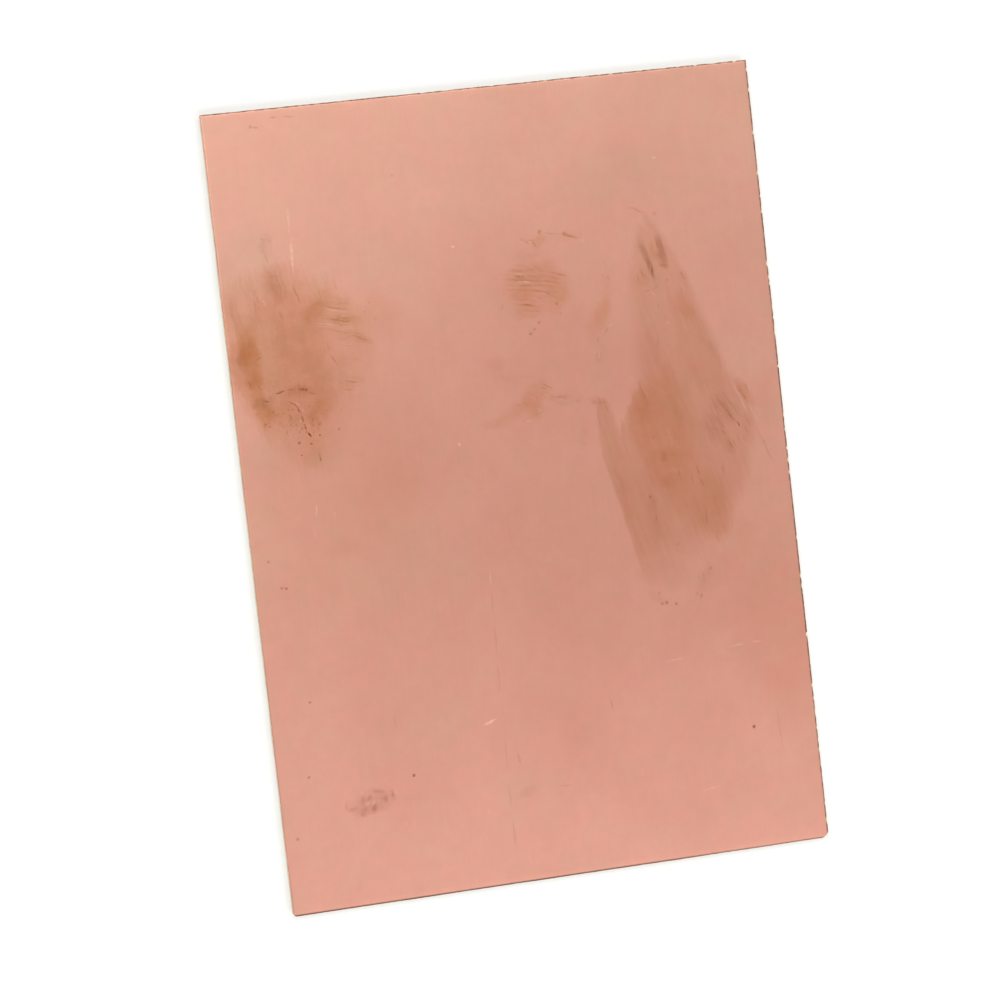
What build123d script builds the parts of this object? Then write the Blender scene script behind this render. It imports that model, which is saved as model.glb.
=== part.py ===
"""Copper clad board: a rectangular blank of glass-epoxy laminate with copper foil bonded to its face.

The blank lies on its bare back with the copper up. The origin is the middle of the back,
X runs along the short side, Y along the long side and Z through the thickness.
All four edges were cut on a shear. The blade drew the copper face down in a narrow rolled band,
left a straight land below it and broke the last of the glass away at a slant towards the back.
One corner is blunted, and one has lost a chip of foil and some of the glass under it.
"""

import os
from math import asin, cos, radians, sin

from build123d import *

# Blank, millimetres
board_width = 70.0
board_length = 100.0
board_thickness = 1.5
foil_thickness = 0.035

# Sheared edge, the same on all four sides: how the glass rolls over at the face and breaks at the back
roll_radius = 0.55
roll_angle = 32.0
break_height = 0.5
break_setback = 0.06

# Blunted corner, at -X -Y
blunt_radius = 0.45

# Chipped corner, at +X -Y
foil_chip_along_x = 0.75
foil_chip_along_y = 0.6
glass_chip_along_x = 0.6
glass_chip_along_y = 0.45
glass_chip_depth = 0.55

# What is intersected runs this far past the edges that it doesn't shape
overrun = 2.0

# Worked out from the sizes above
half_width = board_width / 2
half_length = board_length / 2
glass_thickness = board_thickness - foil_thickness
roll_reach = roll_radius * sin(radians(roll_angle))
roll_centre_height = glass_thickness - roll_radius


def sheared_section(half_span, cover):
    """Cross-section of the glass under a cover of the given thickness, symmetric about its middle.

    The rolled bands of glass and cover are concentric, so the cover is as thick there as on the face.
    """
    radius = roll_radius + cover
    face_height = glass_thickness + cover
    turn = asin(roll_reach / radius)
    land_top = roll_centre_height + radius * cos(turn)
    roll_start = half_span - roll_reach
    back_corner = half_span - break_setback
    outline = [
        Line((-back_corner, 0), (back_corner, 0)),
        Line((back_corner, 0), (half_span, break_height)),
        Line((half_span, break_height), (half_span, land_top)),
        RadiusArc((half_span, land_top), (roll_start, face_height), -radius),
        Line((roll_start, face_height), (-roll_start, face_height)),
        RadiusArc((-roll_start, face_height), (-half_span, land_top), -radius),
        Line((-half_span, land_top), (-half_span, break_height)),
        Line((-half_span, break_height), (-back_corner, 0)),
    ]
    return make_face(outline)


def sheared_block(cover):
    """Glass and cover as the shear leaves them, cut across and along."""
    cut_across = Plane.XZ * sheared_section(half_width, cover)
    cut_along = Plane.YZ * sheared_section(half_length, cover)
    across = extrude(cut_across, half_length + overrun, both=True)
    along = extrude(cut_along, half_width + overrun, both=True)
    return across & along


def blunted_outline():
    """Upright prism on the blank's plan, with its -X -Y corner rounded off."""
    plan = Rectangle(board_width, board_length)
    corner = plan.vertices().group_by(Axis.Y)[0].sort_by(Axis.X)[0]
    return extrude(fillet(corner, blunt_radius), board_thickness + overrun)


def corner_break(along_x, along_y, lower_point):
    """Break plane across the +X -Y corner, facing outwards.

    It crosses the face's two edges at the given distances from the corner, and passes through a lower point.
    """
    on_front = Vector(half_width - along_x, -half_length, glass_thickness)
    on_side = Vector(half_width, -half_length + along_y, glass_thickness)
    along_break = on_side - on_front
    outwards = (lower_point - on_front).cross(along_break)
    return Plane(on_front, along_break, outwards)


def make_base_laminate():
    """Glass-epoxy sheet that carries the foil, its chipped corner broken off at a slant."""
    sheet = sheared_block(0) & blunted_outline()
    chip_root = Vector(half_width, -half_length, glass_thickness - glass_chip_depth)
    chip = corner_break(glass_chip_along_x, glass_chip_along_y, chip_root)
    return split(sheet, bisect_by=chip, keep=Keep.BOTTOM)


def make_copper_foil():
    """Foil over the whole face, drawn down with it along the sheared edges, one corner torn square off."""
    skin = (sheared_block(foil_thickness) - sheared_block(0)) & blunted_outline()
    tear_foot = Vector(half_width - foil_chip_along_x, -half_length, 0)
    tear = corner_break(foil_chip_along_x, foil_chip_along_y, tear_foot)
    return split(skin, bisect_by=tear, keep=Keep.BOTTOM)


def main():
    os.makedirs("parts", exist_ok=True)
    export_step(make_base_laminate(), "parts/base_laminate.step")
    export_step(make_copper_foil(), "parts/copper_foil.step")


main()
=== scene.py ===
"""Copper clad board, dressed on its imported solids.

The blank lies flat with its copper up. Both pieces are meshed again with finer edges, so that the
sheared edge wanders, the foil is nicked and the glass shows its layers. Stains, scratches and grain
are in the materials. Lengths are millimetres in the board's own frame unless a comment says otherwise.
"""

from math import atan2, copysign, cos, degrees, pi, radians, sin, sqrt

import bmesh
import bpy
from mathutils import Matrix, Vector, noise


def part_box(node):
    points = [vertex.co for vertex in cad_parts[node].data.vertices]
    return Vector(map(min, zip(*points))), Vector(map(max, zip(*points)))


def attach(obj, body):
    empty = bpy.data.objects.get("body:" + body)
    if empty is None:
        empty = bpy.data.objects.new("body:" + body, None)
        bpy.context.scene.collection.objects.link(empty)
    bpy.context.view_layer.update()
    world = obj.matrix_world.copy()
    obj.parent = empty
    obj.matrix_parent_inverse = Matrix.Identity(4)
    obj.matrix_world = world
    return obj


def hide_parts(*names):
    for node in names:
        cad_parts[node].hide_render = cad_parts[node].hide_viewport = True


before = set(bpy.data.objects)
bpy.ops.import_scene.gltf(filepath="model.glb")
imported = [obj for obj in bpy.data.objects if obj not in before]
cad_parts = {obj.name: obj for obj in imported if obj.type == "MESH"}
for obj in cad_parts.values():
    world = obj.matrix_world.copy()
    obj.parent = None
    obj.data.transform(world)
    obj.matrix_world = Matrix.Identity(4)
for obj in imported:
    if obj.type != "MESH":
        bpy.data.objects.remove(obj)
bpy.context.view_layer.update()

# Metres in a millimetre
mm = 0.001

# Blank, from the frame
glass_high = Vector(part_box("base_laminate")[1]) / mm
foil_low = Vector(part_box("copper_foil")[0]) / mm
foil_high = Vector(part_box("copper_foil")[1]) / mm
half_width = glass_high.x
half_length = glass_high.y
glass_top = glass_high.z
board_top = foil_high.z
foil_thickness = board_top - glass_top

# Sheared edge
roll_angle = radians(32)
roll_depth = glass_top - foil_low.z
roll_radius = roll_depth / (1 - cos(roll_angle))
roll_reach = roll_radius * sin(roll_angle)
roll_centre = glass_top - roll_radius
break_height = 0.5
break_setback = 0.06
blunt_radius = 0.45

# How the cut edge departs from its nominal section
cut_wander = 0.03
cut_ripple = 0.012
roll_change = 0.22
break_change = 0.35
land_roughness = 0.014
break_roughness = 0.055
layer_pitch = 1.8
ply_pitch = 0.19
crumb_pitch = 0.35
crumb_height = 0.12
crumb_share = 0.5

# Nicks and burr of the foil: how much of them shows halfway across, the change to the sides, and on the front
torn_share = 0.75
torn_change = 0.25
front_share = 0.5
front_band = 0.01
tear_depth = 0.4
tear_start = 0.42
notch_depth = 0.5
notch_start = 0.22
fray_depth = 0.03
nick_limit = 0.8 * roll_reach
burr_drop = 0.06
burr_lip = 0.012

# Noise along the cut: pitch and seed
wander_noise = (7.0, 1.5)
ripple_noise = (0.8, 4.5)
roll_noise = (5.0, 8.5)
tear_noise = (1.3, 12.5)
notch_noise = (0.55, 40.5)
fray_noise = (0.4, 20.5)
burr_noise = (2.3, 25.5)
break_noise = (3.0, 30.5)
setback_noise = (1.2, 33.5)

# Chipped corner, at +X -Y: along X and along Y of each facet of the torn foil, and also depth for the glass
foil_facets = [(0.75, 0.60), (0.88, 0.48), (0.60, 0.70)]
glass_facets = [(0.60, 0.45, 0.55), (0.74, 0.33, 0.40), (0.44, 0.58, 0.34)]

# Camera, as the photograph was taken
camera_place = Vector((-91.9, 27.9, 430.6))
camera_aim = Vector((-3.0, -1.56, board_top))
camera_turn = radians(6.55)
focal_length = 126.0
sensor_width = 36.0

# Mesh fineness
grid_inset = 1.0
grid_pitch = 1.0
columns_per_cell = 6
roll_rows = 6
land_rows = 14
break_rows = 7
sliver = 0.001
sharp_angle = radians(35)

# Bake layout: rim that folds out, margin, middles of both sides in the picture, and scale of the smaller one
fold_band = 0.5
bake_margin = 5
bake_middle = Vector((0.36, 0.5))
small_middle = Vector((0.86, 0.5))
small_share = 0.35
steepest_tilt = 0.5


def waver(place, pitch, seed):
    """Smooth noise from -1 to 1 over the plan, the same for both pieces."""
    return noise.noise(Vector((place.x / pitch, place.y / pitch, seed)))


def cut_shift(edge):
    """How far the cut lies inside its nominal line at a point of the edge."""
    return cut_wander * waver(edge, *wander_noise) + cut_ripple * waver(edge, *ripple_noise)


def nick(edge):
    """How far the foil is torn back from the cut: most at +X, less at -X and least at -Y."""
    share = torn_share + torn_change * edge.x / half_width
    if edge.y < front_band - half_length:
        share *= front_share
    tear = tear_depth * max(waver(edge, *tear_noise) - tear_start, 0)
    notch = notch_depth * max(waver(edge, *notch_noise) - notch_start, 0)
    fray = fray_depth * abs(waver(edge, *fray_noise))
    return min(share**3 * (tear + notch) + fray, nick_limit)


def burr(edge):
    """How far the foil is smeared down over the cut."""
    return burr_drop * max(waver(edge, *burr_noise), 0)


def rolled_height(inset, cover):
    """Nominal height of the glass's upper side, or of a cover on it, at an inset from the cut edge."""
    run = max(roll_reach - inset, 0)
    return roll_centre + sqrt((roll_radius + cover) ** 2 - run**2)


def even(start, end, count):
    """count + 1 values from start to end."""
    return [start + (end - start) * i / count for i in range(count + 1)]


def rim_columns():
    """Start corner, end corner and share of the way between them, for each column of the rim."""
    corners = [(-1, -1), (1, -1), (1, 1), (-1, 1)]
    cells_across = round(2 * (half_width - grid_inset) / grid_pitch)
    cells_along = round(2 * (half_length - grid_inset) / grid_pitch)
    columns = []
    for i, cells in enumerate([cells_across, cells_along] * 2):
        count = cells * columns_per_cell
        columns += [(corners[i], corners[(i + 1) % 4], step / count) for step in range(count)]
    return columns


def rim_point(column, inset):
    """Plan of a column's point at an inset from the cut edge, the -X -Y corner rounded off."""
    start, end, share = column
    size = Vector((half_width - inset, half_length - inset))
    point = (Vector(start) * size).lerp(Vector(end) * size, share)
    centre = Vector((blunt_radius - half_width, blunt_radius - half_length))
    if point.x < centre.x and point.y < centre.y:
        spoke = point - centre
        spoke.length = min(spoke.length, blunt_radius - inset)
        point = centre + spoke
    return point


def rolled_point(column, inset, cover):
    """Point of a column on the rolled band, which is deeper in some places than in others."""
    edge = rim_point(column, 0)
    plan = rim_point(column, inset + (1 - inset / roll_reach) * cut_shift(edge))
    face = glass_top + cover
    drop = (face - rolled_height(inset, cover)) * (1 + roll_change * waver(edge, *roll_noise))
    return Vector((plan.x, plan.y, face - drop))


def side_point(column, setback, height, roughness):
    """Point of a column on the cut side of the glass, whose layers stand back unevenly."""
    edge = rim_point(column, 0)
    layer = waver(edge, layer_pitch, height / ply_pitch)
    crumb = waver(edge, crumb_pitch, height / crumb_height)
    inset = setback + cut_shift(edge) + roughness * (1 + layer + crumb_share * crumb)
    plan = rim_point(column, max(inset, 0))
    return Vector((plan.x, plan.y, height))


def cap(mesh, ring, height):
    """Fills the plan inside a ring of rim vertices with a coarse grid."""
    width = half_width - grid_inset
    length = half_length - grid_inset
    xs = even(-width, width, round(2 * width / grid_pitch))
    ys = even(-length, length, round(2 * length / grid_pitch))
    grid = [[mesh.verts.new((x, y, height)) for x in xs] for y in ys]
    for low, high in zip(grid, grid[1:]):
        for i in range(len(xs) - 1):
            mesh.faces.new((low[i], low[i + 1], high[i + 1], high[i]))
    border = grid[0][:-1] + [row[-1] for row in grid[:-1]]
    border += grid[-1][:0:-1] + [row[0] for row in grid[:0:-1]]
    for i, vertex in enumerate(border):
        first = i * columns_per_cell
        fine = [ring[(first + step) % len(ring)] for step in range(columns_per_cell + 1)]
        mesh.faces.new([border[(i + 1) % len(border)], vertex] + fine)


def break_corner(mesh, along_x, along_y, outwards):
    """Cuts the +X -Y corner off along a plane and closes the cut."""
    on_front = Vector((half_width - along_x, -half_length, glass_top))
    parts = mesh.verts[:] + mesh.edges[:] + mesh.faces[:]
    cut = bmesh.ops.bisect_plane(mesh, geom=parts, plane_co=on_front, plane_no=outwards, clear_outer=True)
    rim = [part for part in cut["geom_cut"] if isinstance(part, bmesh.types.BMEdge)]
    bmesh.ops.edgeloop_fill(mesh, edges=rim)


def closed_sheet(name, rows, facets):
    """Object of a closed sheet: rows of rim points from its upper face round the edge to its lower face.

    Each facet of its broken corner is how far it runs along X and along Y, and which way it faces.
    """
    mesh = bmesh.new()
    rings = [[mesh.verts.new(point) for point in row] for row in rows]
    for upper, lower in zip(rings, rings[1:]):
        for i in range(len(upper)):
            j = (i + 1) % len(upper)
            mesh.faces.new((upper[i], upper[j], lower[j], lower[i]))
    cap(mesh, rings[0], rows[0][0].z)
    cap(mesh, rings[-1], rows[-1][0].z)
    for along_x, along_y, outwards in facets:
        break_corner(mesh, along_x, along_y, outwards)
    bmesh.ops.dissolve_degenerate(mesh, dist=sliver, edges=mesh.edges)
    bmesh.ops.recalc_face_normals(mesh, faces=mesh.faces)
    bmesh.ops.scale(mesh, vec=(mm, mm, mm), verts=mesh.verts)
    data = bpy.data.meshes.new(name)
    mesh.to_mesh(data)
    mesh.free()
    data.polygons.foreach_set("use_smooth", [True] * len(data.polygons))
    data.set_sharp_from_angle(angle=sharp_angle)
    piece = bpy.data.objects.new(name, data)
    bpy.context.collection.objects.link(piece)
    return piece


def make_foil():
    """Foil over the face, rolled down at the cut, with nicks and a burr."""
    columns = rim_columns()
    insets = even(roll_reach, 0, roll_rows)

    def torn(column, inset):
        back = nick(rim_point(column, 0))
        return back + inset * (1 - back / roll_reach)

    def lip(column):
        edge = rim_point(column, 0)
        tip = rolled_point(column, torn(column, 0), 0)
        outer = rim_point(column, torn(column, 0) + cut_shift(edge) - burr_lip)
        return Vector((outer.x, outer.y, tip.z - burr(edge)))

    def row(inset, cover):
        return [rolled_point(column, torn(column, inset), cover) for column in columns]

    rows = [row(inset, foil_thickness) for inset in insets]
    rows.append([lip(column) for column in columns])
    rows += [row(inset, 0) for inset in reversed(insets)]
    facets = [(along_x, along_y, Vector((along_y, -along_x, 0))) for along_x, along_y in foil_facets]
    return closed_sheet("foil_sheet", rows, facets)


def make_glass():
    """Glass-epoxy sheet: rolled band, land and slanting break, its layers rough along the cut."""
    columns = rim_columns()
    insets = even(roll_reach, 0, roll_rows)
    rows = [[rolled_point(column, inset, 0) for column in columns] for inset in insets]
    land_tops = [point.z for point in rows[-1]]
    edges = [rim_point(column, 0) for column in columns]
    break_tops = [break_height * (1 + break_change * waver(edge, *break_noise)) for edge in edges]
    setbacks = [break_setback * (1 + waver(edge, *setback_noise)) for edge in edges]
    for share in even(0, 1, land_rows)[1:]:
        row = []
        for column, top, foot in zip(columns, land_tops, break_tops):
            row.append(side_point(column, 0, top + (foot - top) * share, land_roughness))
        rows.append(row)
    for share in even(0, 1, break_rows)[1:]:
        roughness = land_roughness + (break_roughness - land_roughness) * share
        row = []
        for column, setback, top in zip(columns, setbacks, break_tops):
            row.append(side_point(column, setback * share, top * (1 - share), roughness))
        rows.append(row)
    facets = []
    for along_x, along_y, depth in glass_facets:
        facets.append((along_x, along_y, Vector((along_y * depth, -along_x * depth, along_x * along_y))))
    return closed_sheet("glass_sheet", rows, facets)


def unfold(data, face_up):
    """Bake layout: the side that shows fills the picture, its rim folded out flat, and the other is small."""
    layer = data.uv_layers.new(name="OFBake")
    scale = 1 / (2 * half_length + bake_margin)
    small_scale = small_share * scale
    for polygon in data.polygons:
        tilt = polygon.normal.z if face_up else -polygon.normal.z
        shown = tilt > -steepest_tilt
        for corner in polygon.loop_indices:
            x, y, z = data.vertices[data.loops[corner].vertex_index].co / mm
            fold = board_top - z if face_up else z
            plan = Vector((x, y))
            if shown and half_width - abs(x) < fold_band:
                plan.x += copysign(fold, x)
            if shown and half_length - abs(y) < fold_band:
                plan.y += copysign(fold, y)
            place = bake_middle + plan * scale if shown else small_middle + plan * small_scale
            layer.data[corner].uv = place


class Graph:
    """Node tree of a new material, with a short method for each kind of step."""

    def __init__(self, name):
        self.material = bpy.data.materials.new(name)
        self.material.use_nodes = True
        self.nodes = self.material.node_tree.nodes
        self.links = self.material.node_tree.links
        self.nodes.clear()

    def add(self, kind, feeds, **settings):
        """New shader node with its settings made and its inputs linked or filled in."""
        node = self.nodes.new("ShaderNode" + kind)
        for name, value in settings.items():
            setattr(node, name, value)
        for key, value in feeds.items():
            if isinstance(value, bpy.types.NodeSocket):
                self.links.new(value, node.inputs[key])
            else:
                node.inputs[key].default_value = value
        return node

    def math(self, operation, *values):
        return self.add("Math", dict(enumerate(values)), operation=operation).outputs[0]

    def vector(self, operation, *values):
        return self.add("VectorMath", dict(enumerate(values)), operation=operation).outputs[0]

    def dot(self, first, second):
        feeds = {0: first, 1: second}
        return self.add("VectorMath", feeds, operation="DOT_PRODUCT").outputs["Value"]

    def split(self, value):
        return self.add("SeparateXYZ", {0: value}).outputs

    def mix(self, share, first, second):
        """Colour between two colours."""
        return self.add("Mix", {0: share, 6: first, 7: second}, data_type="RGBA").outputs[2]

    def between(self, share, first, second):
        """Number between two numbers."""
        return self.add("Mix", {0: share, 2: first, 3: second}).outputs[0]

    def sum(self, value, factor, rest):
        """A value times a factor, and the rest."""
        return self.math("MULTIPLY_ADD", value, factor, rest)

    def under(self, colour, tint, depth):
        """Colour under a stain of that tint and depth."""
        return self.vector("MULTIPLY", colour, self.vector("POWER", tint, depth))

    def ease(self, value, low, high, start, end):
        """Smooth step from start to end as value goes from low to high."""
        feeds = dict(enumerate((value, low, high, start, end)))
        return self.add("MapRange", feeds, interpolation_type="SMOOTHSTEP").outputs[0]

    def noise(self, where, scale, detail=2.0, roughness=0.5, output="Fac"):
        feeds = {"Vector": where, "Scale": scale, "Detail": detail, "Roughness": roughness}
        return self.add("TexNoise", feeds).outputs[output]

    def turned(self, where, centre, turn, size):
        """Coordinates about a centre, turned by degrees and measured in the given sizes."""
        feeds = {0: where, 1: (*centre, 1), 2: (0, 0, radians(turn)), 3: (*size, 1)}
        return self.add("Mapping", feeds, vector_type="TEXTURE").outputs[0]

    def streaks(self, where, turn, length, width, detail=2.0):
        """Noise drawn out along a direction."""
        return self.noise(self.turned(where, (0, 0), turn, (length, width)), 1.0, detail)

    def dab(self, where, dab, total):
        """Adds a soft ellipse to a total."""
        x, y, long_half, short_half, turn, softness, depth = dab
        local = self.turned(where, (x, y), turn, (long_half, short_half))
        rise = self.add("TexGradient", {0: local}, gradient_type="SPHERICAL").outputs["Fac"]
        return self.math("ADD", self.ease(rise, 0, softness, 0, depth), total)

    def dabs(self, where, dabs):
        """All of some soft ellipses together."""
        total = 0.0
        for dab in dabs:
            total = self.dab(where, dab, total)
        return total

    def patch(self, where, patch, total):
        """The deeper of a total and a flat stain in a convex outline, half way up its soft sides."""
        depth, *outline = patch
        inside = 1.0
        for (x, y, softness), (next_x, next_y, _) in zip(outline, outline[1:] + outline[:1]):
            inwards = Vector((y - next_y, next_x - x)).normalized() / softness
            side = (inwards.x, inwards.y, 0.5 - inwards.x * x - inwards.y * y)
            inside = self.math("MINIMUM", self.dot(where, side), inside)
        return self.math("MAXIMUM", self.ease(inside, 0, 1, 0, depth), total)

    def finish(self, shader, feeds):
        """Material with a shader of that kind on its surface."""
        surface = self.add(shader, feeds).outputs[0]
        self.add("OutputMaterial", {"Surface": surface})
        return self.material


# Thin marks: their half width as a share of the width they show, and their softness
thin_share = 0.62
thin_softness = 0.7


def strokes(*rows):
    """Dabs for thin tapered strokes, each given by x and y of both its ends, width and depth."""
    dabs = []
    for x0, y0, x1, y1, width, depth in rows:
        run = Vector((x1 - x0, y1 - y0))
        turn = degrees(atan2(run.y, run.x))
        half = run.length / 2 + width
        dabs.append(((x0 + x1) / 2, (y0 + y1) / 2, half, width * thin_share, turn, thin_softness, depth))
    return dabs


def dots(*rows):
    """Dabs for small spots, each given by x, y, size and depth."""
    dabs = []
    for x, y, size, depth in rows:
        half = size * thin_share
        dabs.append((x, y, half, half, 0, thin_softness, depth))
    return dabs


# Marks on the copper. A dab is x, y, half length, half width, turn in degrees, softness and depth.
# A patch is its depth and then its corners anticlockwise, each with the softness of the side it starts.

# Left finger print
left_outer = [
    (0.26, (-26.8, 5, 2.4), (-24.6, 5, 5), (-17.6, 18.5, 4), (-16.6, 22.6, 3), (-20.6, 27.2, 2.6),
     (-27.2, 30.6, 2), (-29.8, 30.2, 2.8), (-34.8, 28, 1), (-35.4, 24, 0.8), (-35.3, 17, 1.2),
     (-32.4, 11, 1.8), (-29.6, 7.6, 2.4)),
]
left_body = [
    (0.36, (-31.6, 11.4, 1.6), (-25, 10.8, 2.6), (-22, 14, 4.6), (-22.6, 23.5, 3.6), (-25.6, 27.8, 2.6),
     (-28.2, 29.4, 2.2), (-30.8, 26.4, 3), (-34.6, 25, 1.2), (-35.3, 19, 0.8), (-33.9, 15.6, 0.6)),
]
left_core = [
    (-32.4, 19.6, 4.6, 1.7, 96, 0.7, 0.68), (-32, 16, 3, 1.4, 105, 0.8, 0.38),
    (-31.7, 22.4, 1.8, 1.2, 80, 0.8, 0.22), (-31.6, 13.4, 3.6, 1.5, 108, 0.8, 0.4),
]
left_dabs = [
    (-26.8, 18, 4.8, 3.4, 80, 0.9, 0.07), (-24.6, 12.4, 3.2, 2.4, 60, 0.9, 0.2),
    (-25.8, 8.6, 3.6, 2, 95, 0.9, 0.18), (-29.2, 12.8, 2.6, 1.6, 10, 0.9, 0.2),
    (-23.6, 24.5, 2.4, 1.7, 30, 0.8, 0.32), (-22.6, 26, 2, 1.4, 10, 0.8, 0.25),
]
left_soil = [
    (-33.7, 19.6, 1.6, 0.8, 80, 0.8, 0.38), (-33.6, 25.2, 3.2, 0.9, 92, 0.8, 0.28),
    (-31.2, 14, 1.9, 1.1, 10, 0.8, 0.4), (-27, 15, 3, 1.1, -2, 0.8, 0.34),
    (-28.3, 21.6, 5, 1.3, 95, 0.9, 0.2), (-28.2, 28.4, 3.4, 2, 95, 0.9, 0.4),
    (-28.8, 33.3, 1.8, 0.9, 80, 0.9, 0.18), (-31.4, 26.8, 2.8, 1.4, 95, 0.9, 0.18),
]
left_wing = [
    (-20.2, 23.2, 3, 1.1, -12, 0.8, 0.42), (-21.2, 25.4, 3.2, 1.4, -10, 0.9, 0.22),
    (-19.2, 20.8, 3.6, 1.3, -25, 0.9, 0.22), (-19.8, 15.4, 2.4, 1.2, -8, 0.9, 0.16),
]
left_lines = strokes(
    (-22.8, 25.2, -18.8, 24.1, 0.2, 0.56), (-22.2, 24.4, -18.8, 23.5, 0.16, 0.36),
    (-23.2, 23.7, -18.6, 22.6, 0.2, 0.48), (-21, 23.4, -19.2, 22.9, 0.6, 0.32),
    (-22, 22.2, -19.2, 21.2, 0.18, 0.36), (-19.6, 21.3, -16.5, 19.7, 0.24, 0.44),
    (-20.3, 22, -17.4, 20.6, 0.16, 0.24), (-18.8, 20.6, -16.9, 19.6, 0.16, 0.24),
    (-21.6, 20.2, -18, 19.3, 0.16, 0.18), (-20.2, 18.4, -17.6, 17.4, 0.16, 0.16),
    (-20.9, 15.6, -19.2, 15.2, 0.24, 0.46), (-21, 14.5, -19.7, 14.4, 0.22, 0.46),
    (-20.6, 15, -19.5, 14.8, 0.18, 0.2), (-22.2, 19, -21.6, 17.7, 0.28, 0.48),
    (-22.6, 20.8, -22.2, 19.5, 0.22, 0.22), (-23.1, 27.8, -22.6, 25.8, 0.16, 0.28),
    (-22.4, 27.4, -22.1, 26, 0.14, 0.26), (-21.5, 27.5, -21.3, 26.5, 0.16, 0.24),
    (-20.8, 27.7, -20.4, 26.8, 0.18, 0.28), (-23.8, 27.5, -23.2, 26.2, 0.16, 0.24),
    (-26.1, 28.3, -25.2, 25.5, 0.26, 0.52), (-31.1, 27.8, -30.9, 24.4, 0.2, 0.22),
    (-28, 25.1, -27.7, 24, 0.5, 0.28), (-29, 32.4, -28.7, 31, 0.18, 0.32),
    (-29.3, 34.1, -28.4, 33.8, 0.18, 0.24), (-28.5, 33.5, -28, 33.9, 0.16, 0.22),
    (-29.6, 29.4, -26.9, 29.3, 0.2, 0.18), (-32.8, 16.9, -32.5, 16.1, 0.22, 0.64),
    (-31.9, 16.5, -31.4, 15.6, 0.2, 0.44), (-31.6, 19.4, -30.9, 19.7, 0.24, 0.48),
    (-25.1, 34, -25.35, 31, 0.15, 0.22),
) + dots(
    (-16.7, 24.9, 0.45, 0.32), (-16.1, 22.8, 0.5, 0.32), (-17.4, 23.8, 0.4, 0.2),
)
left_cracks = strokes(
    (-29.5, 15, -28.7, 15.2, 0.26, 1.3), (-28.2, 15.3, -27.2, 15.2, 0.18, 0.8),
    (-26.7, 15.2, -25.9, 15, 0.4, 0.9), (-25.5, 14.7, -24.6, 14.4, 0.16, 0.6),
    (-31.1, 14.2, -30.6, 14.1, 0.22, 0.9), (-28, 13.7, -27.3, 13.2, 0.2, 1.1),
    (-27.4, 13.2, -26.8, 12.2, 0.18, 1.2), (-26.8, 12, -26.5, 11.1, 0.18, 1.1),
    (-26.5, 10.8, -26.3, 9.9, 0.2, 1.7), (-26.1, 9.7, -25.8, 9.2, 0.24, 2), (-25.1, 7.1, -25, 6.1, 0.28, 0.9),
) + dots(
    (-25.8, 15, 0.4, 1.3), (-30.2, 12.8, 0.32, 1.1), (-25.9, 8.3, 0.35, 1.3), (-27.4, 8.5, 0.5, 1),
    (-27.3, 7, 0.28, 0.9), (-24.7, 9.3, 0.28, 1.3), (-24.6, 10.6, 0.4, 0.8), (-22.2, 9.7, 0.34, 0.7),
    (-21.7, 12.1, 0.3, 0.6), (-25.4, 10.5, 0.26, 0.8), (-31.3, 11.4, 0.36, 0.6), (-30.8, 11, 0.34, 0.65),
    (-28.9, 10, 0.26, 0.5),
)
left_specks = [
    (-27.4, 11.2, 4.2, 3.6, 0, 0.7, 0.62), (-30.6, 15.6, 2.4, 1.6, 60, 0.8, 0.4),
]
left_shine = strokes(
    (-25.5, 38.2, -25.6, 34, 0.3, 0.16), (-25.5, 34, -25.8, 29, 0.34, 0.28),
    (-25.2, 33.8, -25.4, 31, 0.16, 0.16), (-30.4, 27.5, -29.5, 25.7, 0.18, 0.2),
    (-31.6, 28.1, -30.8, 26.5, 0.16, 0.12), (-24.2, 23.1, -20.2, 22.4, 0.14, 0.16),
    (-23.8, 22.7, -21.2, 22.3, 0.14, 0.14), (-22.6, 24.8, -19.6, 24, 0.12, 0.14),
    (-27.4, 13.7, -26.9, 13.2, 0.18, 0.16), (-26.7, 13, -26.4, 12.4, 0.18, 0.18),
    (-28.4, 13.7, -28, 13.4, 0.16, 0.14), (-27, 11.6, -26.9, 11, 0.16, 0.14),
    (-26, 10.9, -25.9, 10.4, 0.14, 0.14),
)

# Middle finger print
middle_dabs = [
    (4.9, 24.3, 4.9, 4.2, -6, 0.4, 0.24), (7.3, 24.1, 1.9, 2.1, 10, 0.5, 0.16),
    (2.9, 23.7, 1.9, 1.3, 0, 0.6, 0.18), (2.8, 21.4, 2.4, 1.4, 0, 0.9, 0.14),
    (5.8, 30, 1.5, 1.1, 20, 0.7, 0.34), (8.8, 30.4, 2.4, 1.2, -8, 0.9, 0.16),
    (5.7, 27.3, 2, 0.9, -5, 0.8, 0.14), (12.9, 20.2, 2.8, 1.3, 72, 0.9, 0.36),
    (11.4, 18.8, 3, 1.6, 76, 0.9, 0.16), (13.7, 23.6, 3, 1.2, 84, 0.9, 0.1),
    (2.9, 10.8, 3.3, 1.9, 48, 0.65, 0.3), (0.4, 9.2, 3, 1.6, 22, 0.9, 0.24),
    (-2.4, 8.2, 2.6, 1.1, 15, 0.9, 0.16), (3.2, 8.7, 2, 1.3, 20, 0.9, 0.22),
    (-1.7, 15.4, 2.4, 1.4, 10, 0.9, 0.15), (-1, 13.6, 3.4, 1, -10, 0.9, 0.1),
]
middle_lines = [
    (3, 25.6, 3.2, 2.1, -9, 0.8, 0.22), (6.8, 25.2, 3, 1.8, -12, 0.9, 0.08),
    (5.8, 23.4, 2.6, 1.4, -20, 0.9, 0.12), (3.2, 22, 2.6, 1.8, -6, 0.9, 0.2),
]
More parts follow.
